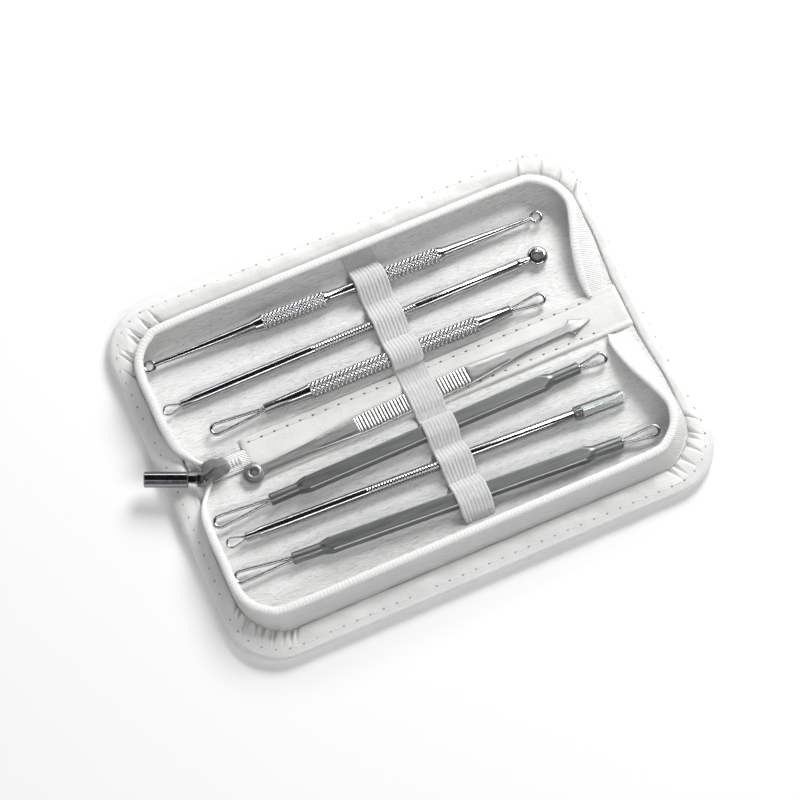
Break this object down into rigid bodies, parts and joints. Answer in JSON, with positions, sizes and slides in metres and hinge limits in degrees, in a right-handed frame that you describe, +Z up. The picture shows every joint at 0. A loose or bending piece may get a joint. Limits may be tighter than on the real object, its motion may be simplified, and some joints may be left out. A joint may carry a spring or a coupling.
{
  "type": "blackhead extractor kit",
  "caption": "Zipped folding case of white leatherette, lying open, with slender steel double-ended extractor tools held side by side under an elastic strap.",
  "frame": {"origin": "under the middle of the spine, on the face the open case lies on", "axes": "+X along the spine, away from the zip pull; +Y across the spine, to the far half; +Z up"},
  "size_m": [0.1553, 0.116, 0.011],
  "materials": {
    "leatherette": "glossy white, lightly grained",
    "stiff_board": "hidden stiffener board",
    "lining_cloth": "white brushed cloth",
    "zip_tape_cloth": "white woven twill tape",
    "zip_coil": "white nylon coil",
    "spine_strip_leather": "smooth white leatherette with stitching",
    "elastic_webbing": "white ribbed elastic webbing",
    "slider_metal": "grey plated die casting",
    "pull_metal": "dark bright plating",
    "polished_steel": "polished stainless steel",
    "satin_steel": "satin stainless steel",
    "clear_plastic": "clear, slightly bluish"
  },
  "bodies": {
    "near_half": {"near_cover": "leatherette", "near_board": "stiff_board", "near_lining": "lining_cloth", "near_zip_tape": "zip_tape_cloth", "near_zip_chain": "zip_coil", "near_strap": "elastic_webbing"},
    "spine": {"spine_cover": "leatherette", "spine_core": "stiff_board", "spine_strip": "spine_strip_leather", "spine_strap": "elastic_webbing", "zip_tail": "zip_coil"},
    "far_half": {"far_cover": "leatherette", "far_board": "stiff_board", "far_lining": "lining_cloth", "far_zip_tape": "zip_tape_cloth", "far_zip_chain": "zip_coil", "far_strap": "elastic_webbing"},
    "slider": {"zip_slider": "slider_metal", "slider_bridge": "slider_metal"},
    "pull": {"zip_pull": "pull_metal"},
    "curette_tool": {"curette": "polished_steel"},
    "spoon_tool": {"spoon_handle": "polished_steel", "spoon_ring": "polished_steel", "spoon_head": "polished_steel"},
    "knurled_tool": {"knurled_handle": "polished_steel", "knurled_left_loop": "polished_steel", "knurled_right_loop": "polished_steel"},
    "lancet_tool": {"lancet": "polished_steel"},
    "upper_tool": {"upper_handle": "satin_steel", "upper_left_loop": "polished_steel", "upper_right_loop": "polished_steel"},
    "needle_tool": {"needle_handle": "polished_steel", "needle_ring": "polished_steel", "needle_point": "polished_steel"},
    "cap": {"needle_cap": "clear_plastic"},
    "lower_tool": {"lower_handle": "satin_steel", "lower_left_loop": "polished_steel", "lower_right_loop": "polished_steel"}
  },
  "joints": [
    {"name": "near_crease", "type": "hinge", "parent": "near_half", "child": "spine", "pos_m": [0, -0.0082, 0.0038], "axis": [1, 0, 0], "range_deg": [0, 90], "deforming": ["near_strap", "spine_strap"]},
    {"name": "far_crease", "type": "hinge", "parent": "spine", "child": "far_half", "pos_m": [0, 0.0082, 0.0038], "axis": [1, 0, 0], "range_deg": [0, 90], "deforming": ["far_strap"]},
    {"name": "slider_travel", "type": "slide", "parent": "spine", "child": "slider", "axis": [-1, 0, 0], "range_m": [0, 0.0025]},
    {"name": "pull_swing", "type": "hinge", "parent": "slider", "child": "pull", "pos_m": [-0.0652, 0.0002, 0.00655], "axis": [0.4067, 0.9135, 0], "range_deg": [0, 120]},
    {"name": "curette_slide", "type": "slide", "parent": "far_half", "child": "curette_tool", "axis": [0.9998, -0.0209, 0], "range_m": [-0.001, 0.008]},
    {"name": "spoon_slide", "type": "slide", "parent": "far_half", "child": "spoon_tool", "axis": [1, 0.0035, 0], "range_m": [-0.0005, 0.0095]},
    {"name": "knurled_slide", "type": "slide", "parent": "far_half", "child": "knurled_tool", "axis": [0.9999, -0.0105, 0], "range_m": [-0.008, 0.009]},
    {"name": "lancet_slide", "type": "slide", "parent": "spine", "child": "lancet_tool", "axis": [0.9993, 0.0366, 0], "range_m": [-0.001, 0.012]},
    {"name": "upper_slide", "type": "slide", "parent": "near_half", "child": "upper_tool", "axis": [1, 0.0087, 0], "range_m": [0, 0.002]},
    {"name": "needle_slide", "type": "slide", "parent": "near_half", "child": "needle_tool", "axis": [0.9991, -0.0419, 0], "range_m": [-0.0015, 0.002]},
    {"name": "cap_slide", "type": "slide", "parent": "needle_tool", "child": "cap", "axis": [0.9991, -0.0419, 0], "range_m": [0, 0.006]},
    {"name": "lower_slide", "type": "slide", "parent": "near_half", "child": "lower_tool", "axis": [0.9981, -0.061, 0], "range_m": [0, 0.003]}
  ]
}
